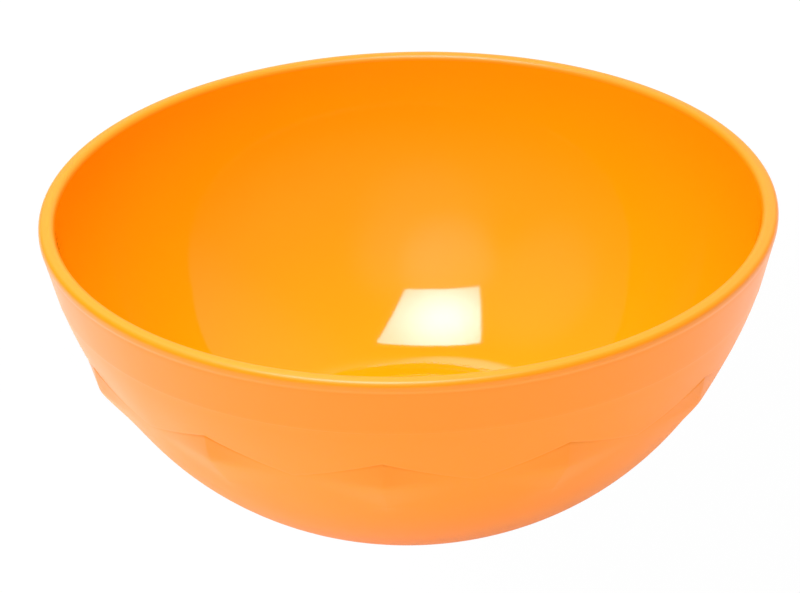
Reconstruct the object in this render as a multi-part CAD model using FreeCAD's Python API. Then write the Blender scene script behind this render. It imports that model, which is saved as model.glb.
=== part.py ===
"""Serving bowl of a chip and dip set: one moulded plastic shell.

Millimetres, +Z up. The origin is the middle of the foot's underside, on the
bowl's axis. Outside, a round wall rises from a ring foot to a thick rim. A
band of twelve folded facets stands out of it about half way up.
"""
import FreeCAD, Part
import os
from math import asin, cos, pi, radians, sin, sqrt, tan

# Rim: seen in section, a top that falls slightly outwards between two rounded edges
rim_radius = 125.0            # outermost circle of the bowl
rim_top = 102.5               # height of the whole bowl
rim_width = 5.6               # across the rolled edge, seen from above
rim_tilt = radians(9.0)       # fall of the top, outwards
inner_edge = 2.4              # rounding radii of the two edges
outer_edge = 2.0
rim_skirt = 0.6               # straight outer face below the rolled edge
rim_step = 0.4                # how far the rim stands out of the wall
rim_step_height = 1.6

# Outer wall: a cone under the rim, then two arcs that meet without a kink.
# A lean is measured from the vertical.
shoulder_radius = 120.75      # where the cone ends, at a faint line
shoulder_height = 81.8
upper_lean = radians(16.2)
middle_lean = radians(34.8)
upper_arc = 153.0
lower_arc = 109.8

# Wall, floor and foot
wall = 4.4                    # lower half; above, it thickens towards the rim
floor_height = 6.2            # flat floor inside
floor_fillet = 20.6
foot_radius = 57.0
foot_width = 3.5
foot_height = 1.2             # depth of the recess inside the foot
recess_slope = 0.6            # how far the recess's side leans inwards
foot_join_height = 2.2        # where the wall turns down into the foot
gate_radius = 3.0             # moulding gate in the middle of the recess
gate_height = 0.4

# Faceted band: each bump is folded along a ridge, from a peak down to a tail.
# Its border is given as shares of the way from the ridge to the next waist.
bumps = 12
first_bump = radians(-95.0)   # azimuth of the first ridge, from +X
corner_height = 58.0          # the ridge's corner, furthest out of the wall
corner_standout = 2.7
peak_height = 68.0
tail_height = 45.2
waist_share = 0.93
border_share = 0.5
border_bulge = 0.4            # how far the border bows out from a straight line
sink = 0.3                    # depth of the bump's border inside the wall
root_depth = 3.0


def at(radius, height, azimuth=0.0):
    """A point from its radius, height and azimuth."""
    return FreeCAD.Vector(radius * cos(azimuth), radius * sin(azimuth), height)


def on_arc(centre, radius, lean):
    """The point of an arc where the surface leans by this much."""
    return at(centre.x + radius * cos(lean), centre.z - radius * sin(lean))


def arc_edge(centre, radius, start_lean, end_lean):
    """The arc between two leans, about a centre in the XZ plane."""
    middle = on_arc(centre, radius, (start_lean + end_lean) / 2)
    start = on_arc(centre, radius, start_lean)
    end = on_arc(centre, radius, end_lean)
    return Part.Arc(start, middle, end).toShape()


def line(start, end):
    return Part.LineSegment(start, end).toShape()


def revolved(edges):
    """The solid that a closed outline in the XZ plane sweeps about the axis."""
    face = Part.Face(Part.Wire(edges))
    return face.revolve(FreeCAD.Vector(0, 0, 0), FreeCAD.Vector(0, 0, 1), 360)


# The rim's section. Its surface leans by top_lean on the flat top and by 0 on the skirt.
top_lean = rim_tilt - pi / 2
inner_centre = at(rim_radius - rim_width + inner_edge, rim_top - inner_edge)
top_start = on_arc(inner_centre, inner_edge, top_lean)
top_end_radius = rim_radius - outer_edge * (1 - sin(rim_tilt))
top_end = at(top_end_radius, top_start.z - (top_end_radius - top_start.x) * tan(rim_tilt))
outer_centre = at(rim_radius - outer_edge, top_end.z - outer_edge * cos(rim_tilt))
wall_top = at(rim_radius - rim_step, outer_centre.z - rim_skirt - rim_step_height)

# Arc centres of the outer wall
upper_centre = at(
    shoulder_radius - upper_arc * cos(upper_lean),
    shoulder_height + upper_arc * sin(upper_lean),
)
lower_centre = at(
    upper_centre.x + (upper_arc - lower_arc) * cos(middle_lean),
    upper_centre.z - (upper_arc - lower_arc) * sin(middle_lean),
)
foot_lean = asin((lower_centre.z - foot_join_height) / lower_arc)


def wall_radius(height):
    """Radius of the round outer wall below the shoulder."""
    joint = on_arc(upper_centre, upper_arc, middle_lean)
    if height > joint.z:
        centre, radius = upper_centre, upper_arc
    else:
        centre, radius = lower_centre, lower_arc
    return centre.x + sqrt(radius**2 - (centre.z - height)**2)


def outer_body():
    """Everything inside the bowl's outer skin, without the band."""
    crown = at(inner_centre.x, rim_top)
    rolled_end = at(rim_radius, outer_centre.z)
    skirt_end = at(rim_radius, outer_centre.z - rim_skirt)
    shoulder = at(shoulder_radius, shoulder_height)
    foot_top = on_arc(lower_centre, lower_arc, foot_lean)
    foot_outer = at(foot_radius, 0)
    foot_inner = at(foot_radius - foot_width, 0)
    recess_edge = at(foot_radius - foot_width - recess_slope, foot_height)
    gate_top = at(gate_radius, foot_height)
    gate_bottom = at(gate_radius, foot_height - gate_height)
    return revolved([
        line(at(0, rim_top), crown),
        arc_edge(inner_centre, inner_edge, -pi / 2, top_lean),
        line(top_start, top_end),
        arc_edge(outer_centre, outer_edge, top_lean, 0),
        line(rolled_end, skirt_end),
        line(skirt_end, wall_top),
        line(wall_top, shoulder),
        arc_edge(upper_centre, upper_arc, upper_lean, middle_lean),
        arc_edge(lower_centre, lower_arc, middle_lean, foot_lean),
        line(foot_top, foot_outer),
        line(foot_outer, foot_inner),
        line(foot_inner, recess_edge),
        line(recess_edge, gate_top),
        line(gate_top, gate_bottom),
        line(gate_bottom, at(0, foot_height - gate_height)),
        line(at(0, foot_height - gate_height), at(0, rim_top)),
    ])


def cavity():
    """The space inside: below, it follows the outer wall, and above, one arc meets the rim."""
    crown = at(inner_centre.x, rim_top)
    inner_arc = lower_arc - wall
    joint = on_arc(lower_centre, inner_arc, middle_lean)
    # The arc that leaves the joint without a kink and touches the rim's inner edge
    outwards = at(cos(middle_lean), -sin(middle_lean))
    to_edge = inner_centre - joint
    mouth_arc = (to_edge.Length**2 - inner_edge**2) / (2 * (inner_edge - outwards.dot(to_edge)))
    mouth_centre = joint - outwards * mouth_arc
    mouth_lean = asin((mouth_centre.z - inner_centre.z) / (mouth_arc + inner_edge))
    fillet_height = floor_height + floor_fillet
    drop = lower_centre.z - fillet_height
    reach = sqrt((inner_arc - floor_fillet)**2 - drop**2)
    fillet_centre = at(lower_centre.x + reach, fillet_height)
    fillet_lean = asin(drop / (inner_arc - floor_fillet))
    return revolved([
        line(at(0, rim_top), crown),
        arc_edge(inner_centre, inner_edge, -pi / 2, mouth_lean - pi),
        arc_edge(mouth_centre, mouth_arc, mouth_lean, middle_lean),
        arc_edge(lower_centre, inner_arc, middle_lean, fillet_lean),
        arc_edge(fillet_centre, floor_fillet, fillet_lean, pi / 2),
        line(at(fillet_centre.x, floor_height), at(0, floor_height)),
        line(at(0, floor_height), at(0, rim_top)),
    ])


def bump(ridge):
    """One bump: a closed fan of facets between its corner and its root."""
    half_pitch = pi / bumps
    corner = at(wall_radius(corner_height) + corner_standout, corner_height, ridge)
    root = at(wall_radius(corner_height) - root_depth, corner_height, ridge)
    upper_height = corner_height + border_bulge * (peak_height - corner_height)
    lower_height = corner_height + border_bulge * (tail_height - corner_height)
    outline = [
        (0, peak_height),
        (border_share, upper_height),
        (waist_share, corner_height),
        (border_share, lower_height),
        (0, tail_height),
        (-border_share, lower_height),
        (-waist_share, corner_height),
        (-border_share, upper_height),
    ]
    border = []
    for share, height in outline:
        border.append(at(wall_radius(height) - sink, height, ridge + share * half_pitch))
    faces = []
    for start, end in zip(border, border[1:] + border[:1]):
        for tip in (corner, root):
            faces.append(Part.Face(Part.makePolygon([start, end, tip, start])))
    solid = Part.Solid(Part.Shell(faces))
    if solid.Volume < 0:
        solid.reverse()
    return solid


def bowl():
    body = outer_body()
    ridges = [first_bump + number * 2 * pi / bumps for number in range(bumps)]
    return body.multiFuse([bump(ridge) for ridge in ridges]).cut(cavity())


os.makedirs("parts", exist_ok=True)
shape = bowl()
shape.exportStep("parts/bowl.step")
print("bowl: solids", len(shape.Solids), "valid", shape.isValid(), "volume", round(shape.Volume))
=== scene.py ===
"""Looks of the chip and dip serving bowl: one moulded orange shell, glossy inside and
satin outside, with a rolled rim and twelve folded bumps around the middle.

Lengths called _mm are millimetres and everything else is metres, in the frame of the
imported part: +Z up, the origin under the middle of the foot.
"""

from math import asin, cos, exp, pi, radians, sin, sqrt, tan

import bpy
from mathutils import Matrix, Vector


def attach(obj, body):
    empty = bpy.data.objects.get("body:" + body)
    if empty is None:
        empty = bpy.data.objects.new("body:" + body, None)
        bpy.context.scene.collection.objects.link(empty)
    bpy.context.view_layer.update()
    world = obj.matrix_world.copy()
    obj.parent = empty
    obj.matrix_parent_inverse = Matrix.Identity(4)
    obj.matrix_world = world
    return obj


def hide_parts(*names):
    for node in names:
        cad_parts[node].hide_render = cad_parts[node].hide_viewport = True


MM = 0.001

# Rim, as radii and heights: a top that falls slightly outwards between two rounded edges
RIM_RADIUS_MM = 125.0
RIM_TOP_MM = 102.5
RIM_WIDTH_MM = 5.6
RIM_TILT = radians(9.0)
INNER_EDGE_MM = 2.4
OUTER_EDGE_MM = 2.0
RIM_SKIRT_MM = 0.6
RIM_STEP_MM = 0.4
RIM_STEP_HEIGHT_MM = 1.6

# Outer wall: a cone down to the shoulder line, then two arcs without a kink
SHOULDER_RADIUS_MM = 120.7
SHOULDER_HEIGHT_MM = 81.8
SHOULDER_LEDGE_MM = 0.07
LEDGE_HEIGHT_MM = 0.5
UPPER_LEAN = radians(16.2)
MIDDLE_LEAN = radians(34.8)
UPPER_ARC_MM = 153.0
LOWER_ARC_MM = 109.8

# Wall, floor and foot
WALL_MM = 4.4
FLOOR_HEIGHT_MM = 6.2
FLOOR_FILLET_MM = 20.6
FOOT_RADIUS_MM = 57.0
FOOT_WIDTH_MM = 3.5
FOOT_HEIGHT_MM = 1.2
FOOT_JOIN_HEIGHT_MM = 2.2
FOOT_ROUND_MM = 0.25
RECESS_SLOPE_MM = 0.6
FLOOR_CENTRE_MM = 2.0         # radius of the floor's innermost ring of the mesh
GATE_RADIUS_MM = 3.0
GATE_HEIGHT_MM = 0.4

# Faceted band. Each bump's half is one share, from its ridge (0) to its waist (1).
BUMPS = 12
FIRST_RIDGE = radians(-95.0)
HALF_PITCH = pi / BUMPS
CORNER_HEIGHT_MM = 58.0
CORNER_STANDOUT_MM = 2.7
STANDOUT_FALL = 2.3           # how fast the bump sinks from its ridge to its waist
PEAK_HEIGHT_MM = 68.05
TAIL_HEIGHT_MM = 45.2
WAIST_GAP_MM = 0.35           # from the corner's level to either crease, at the waist
RIDGE_ROUND = 0.04            # rounding of the ridge, as a share
CREASE_FOLD_MM = 0.16         # softness of the folds: at the creases, the corner and the tail
CORNER_FOLD_MM = 0.7
TAIL_FOLD_MM = 0.8
GROOVE_DEPTH_MM = 0.18        # fine groove along the upper crease
GROOVE_WIDTH_MM = 0.35
WAIST_GROOVE = 0.25           # what is left of the groove's depth at the waist
BAND_TOP_MM = 72.0
BAND_BOTTOM_MM = 36.0


def on_arc(centre, radius, lean):
    """The point of an arc, as (radius, height), where the wall leans this far from the vertical."""
    return centre[0] + radius * cos(lean), centre[1] - radius * sin(lean)


UPPER_CENTRE = (
    SHOULDER_RADIUS_MM - UPPER_ARC_MM * cos(UPPER_LEAN),
    SHOULDER_HEIGHT_MM + UPPER_ARC_MM * sin(UPPER_LEAN),
)
LOWER_CENTRE = on_arc(UPPER_CENTRE, UPPER_ARC_MM - LOWER_ARC_MM, MIDDLE_LEAN)
JOINT_HEIGHT_MM = on_arc(UPPER_CENTRE, UPPER_ARC_MM, MIDDLE_LEAN)[1]
INNER_CENTRE = (RIM_RADIUS_MM - RIM_WIDTH_MM + INNER_EDGE_MM, RIM_TOP_MM - INNER_EDGE_MM)
OUTER_START_RADIUS_MM = RIM_RADIUS_MM - OUTER_EDGE_MM * (1 - sin(RIM_TILT))
TOP_LENGTH_MM = OUTER_START_RADIUS_MM - INNER_CENTRE[0] - INNER_EDGE_MM * sin(RIM_TILT)
TOP_FALL_MM = TOP_LENGTH_MM * tan(RIM_TILT)
OUTER_CENTRE = (
    RIM_RADIUS_MM - OUTER_EDGE_MM,
    INNER_CENTRE[1] + (INNER_EDGE_MM - OUTER_EDGE_MM) * cos(RIM_TILT) - TOP_FALL_MM,
)
WALL_TOP = (RIM_RADIUS_MM - RIM_STEP_MM, OUTER_CENTRE[1] - RIM_SKIRT_MM - RIM_STEP_HEIGHT_MM)
# The inside's upper arc leaves the lower one without a kink and touches the rim's inner edge
INNER_ARC_MM = LOWER_ARC_MM - WALL_MM
INNER_JOINT = on_arc(LOWER_CENTRE, INNER_ARC_MM, MIDDLE_LEAN)
TO_EDGE = Vector(INNER_CENTRE) - Vector(INNER_JOINT)
EDGE_OUT_MM = TO_EDGE.dot((cos(MIDDLE_LEAN), -sin(MIDDLE_LEAN)))
MOUTH_ARC_MM = (TO_EDGE.length_squared - INNER_EDGE_MM**2) / (2 * (INNER_EDGE_MM - EDGE_OUT_MM))
MOUTH_CENTRE = on_arc(LOWER_CENTRE, INNER_ARC_MM - MOUTH_ARC_MM, MIDDLE_LEAN)
MOUTH_LEAN = asin((MOUTH_CENTRE[1] - INNER_CENTRE[1]) / (MOUTH_ARC_MM + INNER_EDGE_MM))
CONE_END_RADIUS_MM = SHOULDER_RADIUS_MM + SHOULDER_LEDGE_MM
CONE_SLOPE = (WALL_TOP[0] - CONE_END_RADIUS_MM) / (WALL_TOP[1] - SHOULDER_HEIGHT_MM)


def cone_radius(height):
    """Radius of the cone between the rim and the shoulder line."""
    return CONE_END_RADIUS_MM + CONE_SLOPE * (height - SHOULDER_HEIGHT_MM)


def wall_radius(height):
    """Radius of the round wall below the shoulder line, without the bumps."""
    if height > JOINT_HEIGHT_MM:
        centre, radius = UPPER_CENTRE, UPPER_ARC_MM
    else:
        centre, radius = LOWER_CENTRE, LOWER_ARC_MM
    return centre[0] + sqrt(radius**2 - (centre[1] - height)**2)


def soft_max(a, b, width):
    """The larger of two numbers, rounded over where they cross."""
    return (a + b + sqrt((a - b)**2 + width**2)) / 2


def soft_min(a, b, width):
    return -soft_max(-a, -b, width)


def eased(along):
    """A share from 0 to 1 that starts and ends gently."""
    return along * along * (3 - 2 * along)


def crease_heights(share):
    """Heights of the upper crease, the corner's level and the lower crease."""
    upper = PEAK_HEIGHT_MM + (CORNER_HEIGHT_MM + WAIST_GAP_MM - PEAK_HEIGHT_MM) * share
    lower = TAIL_HEIGHT_MM + (CORNER_HEIGHT_MM - WAIST_GAP_MM - TAIL_HEIGHT_MM) * share
    return upper, CORNER_HEIGHT_MM, lower


def tail_fold(height):
    """Width of the fold at a height: sharp at the crease, soft towards the tail."""
    sinking = min(1, max(0, (CORNER_HEIGHT_MM - height) / (CORNER_HEIGHT_MM - TAIL_HEIGHT_MM)))
    fading = min(1, (height - BAND_BOTTOM_MM) / (TAIL_HEIGHT_MM - BAND_BOTTOM_MM))
    return (CREASE_FOLD_MM + (TAIL_FOLD_MM - CREASE_FOLD_MM) * sinking) * fading


def band_radius(height, share):
    """Radius of the outside in the faceted band, with the fine groove along its upper crease."""
    upper, level, lower = crease_heights(share)
    from_ridge = sqrt(share**2 + RIDGE_ROUND**2) - RIDGE_ROUND
    standout = CORNER_STANDOUT_MM * max(0, 1 - from_ridge)**STANDOUT_FALL
    rise_above = standout * (upper - height) / (upper - level)
    rise_below = standout * (height - lower) / (level - lower)
    corner_fold = CORNER_FOLD_MM * (1 - share)
    rise = soft_min(rise_above, rise_below, corner_fold) + corner_fold / 4
    rise = soft_max(0, rise, tail_fold(height) * (1 - share))
    depth = GROOVE_DEPTH_MM * (WAIST_GROOVE + (1 - WAIST_GROOVE) * (1 - share)**2)
    groove = depth * exp(-((height - upper) / GROOVE_WIDTH_MM)**2)
    return wall_radius(height) + rise - groove


def rows_between(start, end, count):
    """Count evenly spaced values after start, ending with end."""
    return [start + (end - start) * (number + 1) / count for number in range(count)]


def arc_rows(centre, radius, start, end, count):
    """Points (radius, height) of an arc after its start."""
    return [on_arc(centre, radius, lean) for lean in rows_between(start, end, count)]


def straight_rows(start, end, count):
    return list(zip(rows_between(start[0], end[0], count), rows_between(start[1], end[1], count)))


# Distances from a fold at which the band's rows gather, and from a ridge its columns, in degrees
NEAR_FOLD_MM = (1.6, 0.9, 0.55, 0.3, 0.12)
NEAR_RIDGE = (0.15, 0.3, 0.5, 0.75, 1.1, 1.6, 2.3, 3.2, 4.2)
FAR_RIDGE = (5.3, 6.4, 7.5, 8.6, 9.7, 10.8, 11.9, 13.0, 14.0)
# Shares of the rim's step and of the shoulder's ledge at which a ring lies
STEP_ROWS = (0.1, 0.3, 0.5, 0.7, 0.9)
LEDGE_ROWS = (0.2, 0.4, 0.6, 0.8, 1.0)


def band_heights(share):
    """Heights of one column's rows through the band, which gather at its three folds."""
    folds = crease_heights(share)
    stops = [BAND_TOP_MM, *folds, BAND_BOTTOM_MM]
    heights = []
    for number, fold in enumerate(folds):
        above = stops[number] - fold
        below = fold - stops[number + 2]
        rows_above = [fold + min(near, above * near / 4) for near in NEAR_FOLD_MM]
        rows_below = [fold - min(near, below * near / 4) for near in reversed(NEAR_FOLD_MM)]
        spaced = rows_between(heights[-1] if heights else BAND_TOP_MM, rows_above[0], 5)[:-1]
        heights += spaced + rows_above + [fold] + rows_below
    return heights + rows_between(heights[-1], BAND_BOTTOM_MM, 5)


def column_offsets():
    """Azimuth offsets of a bump's columns from its ridge, gathered at the ridge."""
    after = [radians(offset) for offset in NEAR_RIDGE + FAR_RIDGE]
    before = [-offset for offset in reversed(after)]
    return before + [0.0] + after + [HALF_PITCH]


def inner_profile():
    """The inside, from the middle of the floor up to just below the rim's inner edge."""
    fillet_height = FLOOR_HEIGHT_MM + FLOOR_FILLET_MM
    drop = LOWER_CENTRE[1] - fillet_height
    reach = sqrt((INNER_ARC_MM - FLOOR_FILLET_MM)**2 - drop**2)
    fillet_centre = (LOWER_CENTRE[0] + reach, fillet_height)
    fillet_lean = asin(drop / (INNER_ARC_MM - FLOOR_FILLET_MM))
    points = arc_rows(MOUTH_CENTRE, MOUTH_ARC_MM, MOUTH_LEAN, MIDDLE_LEAN, 24)
    points += arc_rows(LOWER_CENTRE, INNER_ARC_MM, MIDDLE_LEAN, fillet_lean, 18)
    points += arc_rows(fillet_centre, FLOOR_FILLET_MM, fillet_lean, pi / 2, 14)
    points += straight_rows(points[-1], (FLOOR_CENTRE_MM, FLOOR_HEIGHT_MM), 6)
    return list(reversed(points))


def rim_profile():
    """The rim, from its inner edge over the top to the foot of its skirt."""
    half_turn = pi / 2
    lip_turn = MOUTH_LEAN - half_turn
    points = []
    for turn in [lip_turn] + rows_between(lip_turn, RIM_TILT, 14):
        points.append((
            INNER_CENTRE[0] + INNER_EDGE_MM * sin(turn),
            INNER_CENTRE[1] + INNER_EDGE_MM * cos(turn),
        ))
    outer_start = (
        OUTER_CENTRE[0] + OUTER_EDGE_MM * sin(RIM_TILT),
        OUTER_CENTRE[1] + OUTER_EDGE_MM * cos(RIM_TILT),
    )
    points += straight_rows(points[-1], outer_start, 5)
    for turn in rows_between(RIM_TILT, half_turn, 14):
        points.append((
            OUTER_CENTRE[0] + OUTER_EDGE_MM * sin(turn),
            OUTER_CENTRE[1] + OUTER_EDGE_MM * cos(turn),
        ))
    skirt_end = (RIM_RADIUS_MM, OUTER_CENTRE[1] - RIM_SKIRT_MM)
    skirt_middle = (RIM_RADIUS_MM, skirt_end[1] + RIM_SKIRT_MM / 2)
    points += straight_rows(points[-1], skirt_middle, 3)
    for along in STEP_ROWS:
        points.append((
            skirt_end[0] - RIM_STEP_MM * eased(along),
            skirt_end[1] - RIM_STEP_HEIGHT_MM * along,
        ))
    return points


def outer_profile():
    """From the rim's skirt down to the top of the band, over the ledge of the shoulder line."""
    above = SHOULDER_HEIGHT_MM + LEDGE_HEIGHT_MM / 2
    below = SHOULDER_HEIGHT_MM - LEDGE_HEIGHT_MM / 2
    points = [WALL_TOP]
    points += straight_rows(WALL_TOP, (cone_radius(above), above), 7)
    for along in LEDGE_ROWS:
        height = above + (below - above) * along
        share = eased(along)
        points.append((cone_radius(height) * (1 - share) + wall_radius(height) * share, height))
    heights = rows_between(below, BAND_TOP_MM, 6)
    return points + [(wall_radius(height), height) for height in heights]


def foot_profile():
    """From the bottom of the band down and inwards to the middle of the recess."""
    foot_lean = asin((LOWER_CENTRE[1] - FOOT_JOIN_HEIGHT_MM) / LOWER_ARC_MM)
    band_lean = asin((LOWER_CENTRE[1] - BAND_BOTTOM_MM) / LOWER_ARC_MM)
    points = arc_rows(LOWER_CENTRE, LOWER_ARC_MM, band_lean, foot_lean, 16)
    soft = FOOT_ROUND_MM
    inner = FOOT_RADIUS_MM - FOOT_WIDTH_MM
    recess = inner - RECESS_SLOPE_MM
    points += [
        (FOOT_RADIUS_MM + soft / 5, soft * 1.5),
        (FOOT_RADIUS_MM - soft / 3, soft / 3),
        (FOOT_RADIUS_MM - soft, 0.0),
        (inner + soft, 0.0),
        (inner + soft / 4, soft / 4),
        (inner - soft / 4, soft),
        (recess, FOOT_HEIGHT_MM - soft / 4),
        (recess - soft, FOOT_HEIGHT_MM),
    ]
    points += straight_rows(points[-1], (GATE_RADIUS_MM + soft, FOOT_HEIGHT_MM), 5)
    points += [
        (GATE_RADIUS_MM, FOOT_HEIGHT_MM - soft / 2),
        (GATE_RADIUS_MM - soft / 2, FOOT_HEIGHT_MM - GATE_HEIGHT_MM),
        (GATE_RADIUS_MM / 3, FOOT_HEIGHT_MM - GATE_HEIGHT_MM),
    ]
    return points


INSIDE, RIM, OUTSIDE = 0, 1, 2


def bowl_mesh():
    """The whole shell as rows of rings, one ring per profile point, from floor to underside."""
    inside = inner_profile()
    rim = rim_profile()
    outside = outer_profile()
    foot = foot_profile()
    azimuths = []
    shares = []
    for bump in range(BUMPS):
        for offset in column_offsets():
            azimuths.append(FIRST_RIDGE + bump * 2 * HALF_PITCH + offset)
            shares.append(abs(offset) / HALF_PITCH)
    columns = len(azimuths)
    vertices = []

    def add_ring(points):
        for azimuth, (radius, height) in zip(azimuths, points):
            vertices.append((radius * cos(azimuth) * MM, radius * sin(azimuth) * MM, height * MM))

    for point in inside + rim + outside:
        add_ring([point] * columns)
    band = []
    for share in shares:
        band.append([(band_radius(height, share), height) for height in band_heights(share)])
    for ring in zip(*band):
        add_ring(ring)
    for point in foot:
        add_ring([point] * columns)

    faces = []
    zones = []
    rows = len(vertices) // columns
    for row in range(rows - 1):
        if row < len(inside):
            zone = INSIDE
        elif row < len(inside) + len(rim):
            zone = RIM
        else:
            zone = OUTSIDE
        for column in range(columns):
            here = row * columns + column
            after = row * columns + (column + 1) % columns
            faces.append((here, after, after + columns, here + columns))
            zones.append(zone)
    floor_centre = len(vertices)
    vertices.append((0.0, 0.0, FLOOR_HEIGHT_MM * MM))
    recess_centre = len(vertices)
    vertices.append((0.0, 0.0, (FOOT_HEIGHT_MM - GATE_HEIGHT_MM) * MM))
    last = (rows - 1) * columns
    for column in range(columns):
        after = (column + 1) % columns
        faces.append((floor_centre, after, column))
        zones.append(INSIDE)
        faces.append((recess_centre, last + column, last + after))
        zones.append(OUTSIDE)
    mesh = bpy.data.meshes.new("bowl_shell")
    mesh.from_pydata(vertices, [], faces)
    mesh.polygons.foreach_set("material_index", zones)
    mesh.polygons.foreach_set("use_smooth", [True] * len(faces))
    mesh.update()
    return mesh


# Grain of the plastic, as noise scales: colour, gloss and moulding ripple
MOTTLE_SCALE = 18.0
WEAR_SCALE = 55.0
RIPPLE_SCALE = 30.0
RIPPLE_STRENGTH = 0.05
RIPPLE_DISTANCE = 0.0004
IOR = 1.5


def orange_plastic(name, base, deep, roughness, specular):
    """Moulded plastic: a faintly mottled colour, uneven gloss and a soft moulding ripple."""
    material = bpy.data.materials.new(name)
    material.use_nodes = True
    nodes, links = material.node_tree.nodes, material.node_tree.links
    shader = nodes["Principled BSDF"]
    shader.inputs["IOR"].default_value = IOR
    shader.inputs["Specular IOR Level"].default_value = specular
    place = nodes.new("ShaderNodeTexCoord")

    mottle = nodes.new("ShaderNodeTexNoise")
    mottle.inputs["Scale"].default_value = MOTTLE_SCALE
    mottle.inputs["Detail"].default_value = 3.0
    links.new(place.outputs["Object"], mottle.inputs["Vector"])
    colour = nodes.new("ShaderNodeMix")
    colour.data_type = "RGBA"
    colour.inputs["A"].default_value = (*base, 1.0)
    colour.inputs["B"].default_value = (*deep, 1.0)
    links.new(mottle.outputs["Fac"], colour.inputs["Factor"])
    links.new(colour.outputs["Result"], shader.inputs["Base Color"])

    wear = nodes.new("ShaderNodeTexNoise")
    wear.inputs["Scale"].default_value = WEAR_SCALE
    wear.inputs["Detail"].default_value = 5.0
    links.new(place.outputs["Object"], wear.inputs["Vector"])
    gloss = nodes.new("ShaderNodeMapRange")
    gloss.inputs["To Min"].default_value = roughness[0]
    gloss.inputs["To Max"].default_value = roughness[1]
    links.new(wear.outputs["Fac"], gloss.inputs["Value"])
    links.new(gloss.outputs["Result"], shader.inputs["Roughness"])

    ripple = nodes.new("ShaderNodeTexNoise")
    ripple.inputs["Scale"].default_value = RIPPLE_SCALE
    ripple.inputs["Detail"].default_value = 1.0
    links.new(place.outputs["Object"], ripple.inputs["Vector"])
    bump = nodes.new("ShaderNodeBump")
    bump.inputs["Strength"].default_value = RIPPLE_STRENGTH
    bump.inputs["Distance"].default_value = RIPPLE_DISTANCE
    links.new(ripple.outputs["Fac"], bump.inputs["Height"])
    links.new(bump.outputs["Normal"], shader.inputs["Normal"])
    return material


# Each zone's plastic: name, colour and its deeper patches, range of the roughness, specular level
# The shell is one orange throughout: the inside's lighter, yellower colour, and a little the rim's, is
# painted light for the brighter light that falls on them
PLASTICS = (
    ("plastic_inside", (0.94, 0.319, 0.0012), (0.92, 0.307, 0.0010), (0.04, 0.06), 0.40),
    ("plastic_rim", (0.94, 0.285, 0.0015), (0.92, 0.275, 0.0012), (0.36, 0.42), 0.37),
    ("plastic_outside", (0.94, 0.270, 0.0015), (0.92, 0.260, 0.0012), (0.34, 0.42), 0.28),
)


def build_bowl():
    bowl = bpy.data.objects.new("bowl_shell", bowl_mesh())
    bpy.context.scene.collection.objects.link(bowl)
    for plastic in PLASTICS:
        bowl.data.materials.append(orange_plastic(*plastic))
    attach(bowl, "root")
    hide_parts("bowl")
    return bowl


def added(tree, sockets):
    """One socket that is the sum of the given ones."""
    total = sockets[0]
    for socket in sockets[1:]:
        add = tree.nodes.new("ShaderNodeMath")
        add.operation = "ADD"
        tree.links.new(total, add.inputs[0])
        tree.links.new(socket, add.inputs[1])
        total = add.outputs["Value"]
    return total


def faded(tree, socket, span, values):
    """The socket's value, turned smoothly from one value into another over a span."""
    fade = tree.nodes.new("ShaderNodeMapRange")
    fade.interpolation_type = "SMOOTHSTEP"
    fade.inputs["From Min"].default_value = span[0]
    fade.inputs["From Max"].default_value = span[1]
    fade.inputs["To Min"].default_value = values[0]
    fade.inputs["To Max"].default_value = values[1]
    tree.links.new(socket, fade.inputs["Value"])
    return fade.outputs["Result"]


def distance_from(tree, middle):
    """How far the surface's points are from a place, in the object's own frame."""
    place = tree.nodes.new("ShaderNodeTexCoord")
    reach = tree.nodes.new("ShaderNodeVectorMath")
    reach.operation = "DISTANCE"
    reach.inputs[1].default_value = middle
    tree.links.new(place.outputs["Object"], reach.inputs[0])
    return reach.outputs["Value"]


FLOOR_RADIUS = 4.0
FLOOR_SIDES = 64


def stage_disc(name, material):
    """A wide round sheet under the bowl."""
    turns = [2 * pi * number / FLOOR_SIDES for number in range(FLOOR_SIDES)]
    mesh = bpy.data.meshes.new(name)
    rim = [(FLOOR_RADIUS * cos(turn), FLOOR_RADIUS * sin(turn), 0.0) for turn in turns]
    mesh.from_pydata(rim, [], [list(range(FLOOR_SIDES))])
    mesh.materials.append(material)
    disc = bpy.data.objects.new(name, mesh)
    bpy.context.scene.collection.objects.link(disc)
    return disc


def matte_white(name, reflectance, glow):
    material = bpy.data.materials.new(name)
    material.use_nodes = True
    shader = material.node_tree.nodes["Principled BSDF"]
    shader.inputs["Base Color"].default_value = (reflectance, reflectance, reflectance, 1.0)
    shader.inputs["Roughness"].default_value = 1.0
    shader.inputs["Specular IOR Level"].default_value = 0.0
    shader.inputs["Emission Color"].default_value = (1.0, 1.0, 1.0, 1.0)
    shader.inputs["Emission Strength"].default_value = glow
    return material


# Share of the light that each sheet scatters, and the even glow of the one in view
LIT_REFLECTANCE = 0.7
SEEN_REFLECTANCE = 0.1
SEEN_GLOW = 0.95
# Glow of the lit sheet, added up: (middle, span of the distance from it, glow at its two ends)
FLOOR_GLOWS = (
    ((0.06, 0.0, 0.0), (0.08, 0.50), (0.42, 0.82)),
    ((-0.10, -0.06, 0.0), (0.03, 0.16), (0.18, 0.0)),
)


def build_floor():
    """Two white sheets: one lights the bowl and isn't in view, the other is in view and stays white."""
    material = matte_white("lit_sheet", LIT_REFLECTANCE, 1.0)
    tree = material.node_tree
    glows = []
    for middle, span, values in FLOOR_GLOWS:
        glows.append(faded(tree, distance_from(tree, middle), span, values))
    shader = tree.nodes["Principled BSDF"]
    tree.links.new(added(tree, glows), shader.inputs["Emission Strength"])
    lit = stage_disc("floor_light", material)
    lit.visible_camera = False
    seen = stage_disc("floor", matte_white("white_sheet", SEEN_REFLECTANCE, SEEN_GLOW))
    seen.visible_diffuse = False
    seen.visible_glossy = False
    seen.visible_shadow = False


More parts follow.
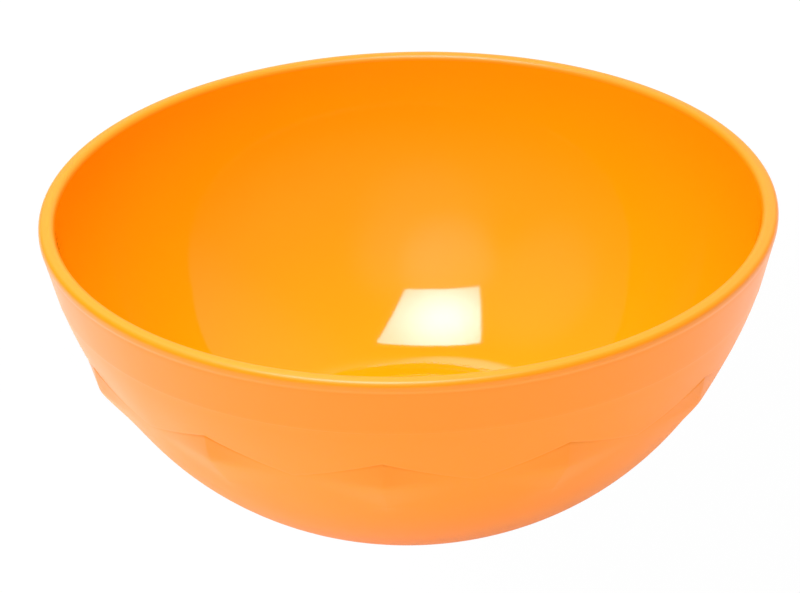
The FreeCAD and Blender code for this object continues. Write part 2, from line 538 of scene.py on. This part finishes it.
# The softbox, in metres: corners and middle seen from above, then its height and fading
SOFTBOX_CORNERS = ((0.028, -0.392), (-0.419, -0.353), (-0.327, 0.074), (0.162, 0.016))
SOFTBOX_HEIGHT = 1.0
SOFTBOX_MIDDLE = (-0.16, -0.15)
SOFTBOX_REACH = 0.36
SOFTBOX_STRENGTHS = (27.0, 12.0)
SOFTBOX_COLOUR = (1.0, 0.91, 1.06, 1.0)


def build_softbox():
    """A four-cornered light overhead, brightest in its middle."""
    mesh = bpy.data.meshes.new("softbox")
    corners = [(x - SOFTBOX_MIDDLE[0], y - SOFTBOX_MIDDLE[1], 0.0) for x, y in SOFTBOX_CORNERS]
    mesh.from_pydata(corners, [], [(0, 1, 2, 3)])
    material = bpy.data.materials.new("softbox_light")
    material.use_nodes = True
    tree = material.node_tree
    tree.nodes.clear()
    light = tree.nodes.new("ShaderNodeEmission")
    light.inputs["Color"].default_value = SOFTBOX_COLOUR
    reach = distance_from(tree, (0.0, 0.0, 0.0))
    strength = faded(tree, reach, (0.0, SOFTBOX_REACH), SOFTBOX_STRENGTHS)
    tree.links.new(strength, light.inputs["Strength"])
    output = tree.nodes.new("ShaderNodeOutputMaterial")
    tree.links.new(light.outputs["Emission"], output.inputs["Surface"])
    mesh.materials.append(material)
    softbox = bpy.data.objects.new("softbox", mesh)
    softbox.location = (*SOFTBOX_MIDDLE, SOFTBOX_HEIGHT)
    bpy.context.scene.collection.objects.link(softbox)
    softbox.visible_camera = False


# Soft glows of the studio: (direction, inner and outer half angle in degrees, strength)
GLOWS = (
    ((-0.18, 0.47, 0.86), 3.0, 14.0, 3.0),
    ((-0.22, -0.57, 0.79), 2.0, 20.0, 0.95),
    ((-0.10, -0.66, 0.75), 5.0, 32.0, 0.35),
    ((-0.66, -0.18, 0.73), 8.0, 26.0, 0.36),
    ((0.65, 0.45, 0.60), 8.0, 45.0, 0.30),
    ((0.02, -0.62, 0.78), 3.0, 20.0, 0.20),
    ((0.00, 0.90, 0.45), 15.0, 50.0, 0.65),
)
# The studio itself, which is dark near the ground: span of the height of a direction, and light
SKY_SPAN = (0.05, 0.5)
SKY_LIGHT = (0.02, 0.28)


def build_world():
    """A dim studio with a few soft glows."""
    world = bpy.data.worlds.new("studio")
    world.use_nodes = True
    tree = world.node_tree
    place = tree.nodes.new("ShaderNodeTexCoord")
    lights = []
    for direction, inner, outer, strength in GLOWS:
        toward = tree.nodes.new("ShaderNodeVectorMath")
        toward.operation = "DOT_PRODUCT"
        tree.links.new(place.outputs["Generated"], toward.inputs[0])
        toward.inputs[1].default_value = Vector(direction).normalized()
        span = (cos(radians(outer)), cos(radians(inner)))
        lights.append(faded(tree, toward.outputs["Value"], span, (0.0, strength)))
    split = tree.nodes.new("ShaderNodeSeparateXYZ")
    tree.links.new(place.outputs["Generated"], split.inputs["Vector"])
    sky = faded(tree, split.outputs["Z"], SKY_SPAN, SKY_LIGHT)
    background = tree.nodes["Background"]
    background.inputs["Color"].default_value = (1.0, 1.0, 1.0, 1.0)
    tree.links.new(added(tree, lights + [sky]), background.inputs["Strength"])
    bpy.context.scene.world = world


# Camera: its place in metres, its angles in radians and its focal length in millimetres
CAMERA_PLACE = (0.0, -0.94857, 0.57619)
CAMERA_PITCH = 0.49425
CAMERA_YAW = -0.00372
CAMERA_ROLL = -0.0286
LENS = 140.69
SENSOR_WIDTH = 36.0


def build_camera():
    """A long lens that looks down into the bowl from the front."""
    data = bpy.data.cameras.new("camera")
    data.lens = LENS
    data.sensor_width = SENSOR_WIDTH
    data.clip_start = 0.05
    camera = bpy.data.objects.new("camera", data)
    bpy.context.scene.collection.objects.link(camera)
    forward = Vector((
        sin(CAMERA_YAW) * cos(CAMERA_PITCH),
        cos(CAMERA_YAW) * cos(CAMERA_PITCH),
        -sin(CAMERA_PITCH),
    ))
    right = Vector((cos(CAMERA_YAW), -sin(CAMERA_YAW), 0.0))
    up = right.cross(forward)
    across = cos(CAMERA_ROLL) * right + sin(CAMERA_ROLL) * up
    upward = cos(CAMERA_ROLL) * up - sin(CAMERA_ROLL) * right
    turn = Matrix((across, upward, -forward)).transposed().to_4x4()
    camera.matrix_world = Matrix.Translation(CAMERA_PLACE) @ turn
    bpy.context.scene.camera = camera


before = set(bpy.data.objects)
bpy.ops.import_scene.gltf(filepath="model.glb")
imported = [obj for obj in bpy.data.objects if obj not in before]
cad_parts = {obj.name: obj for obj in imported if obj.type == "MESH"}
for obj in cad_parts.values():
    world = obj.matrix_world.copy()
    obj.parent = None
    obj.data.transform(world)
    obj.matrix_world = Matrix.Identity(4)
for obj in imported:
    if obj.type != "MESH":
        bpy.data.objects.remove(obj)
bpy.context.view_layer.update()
build_bowl()
build_floor()
build_softbox()
build_world()
build_camera()
bpy.context.scene.view_settings.view_transform = "Standard"
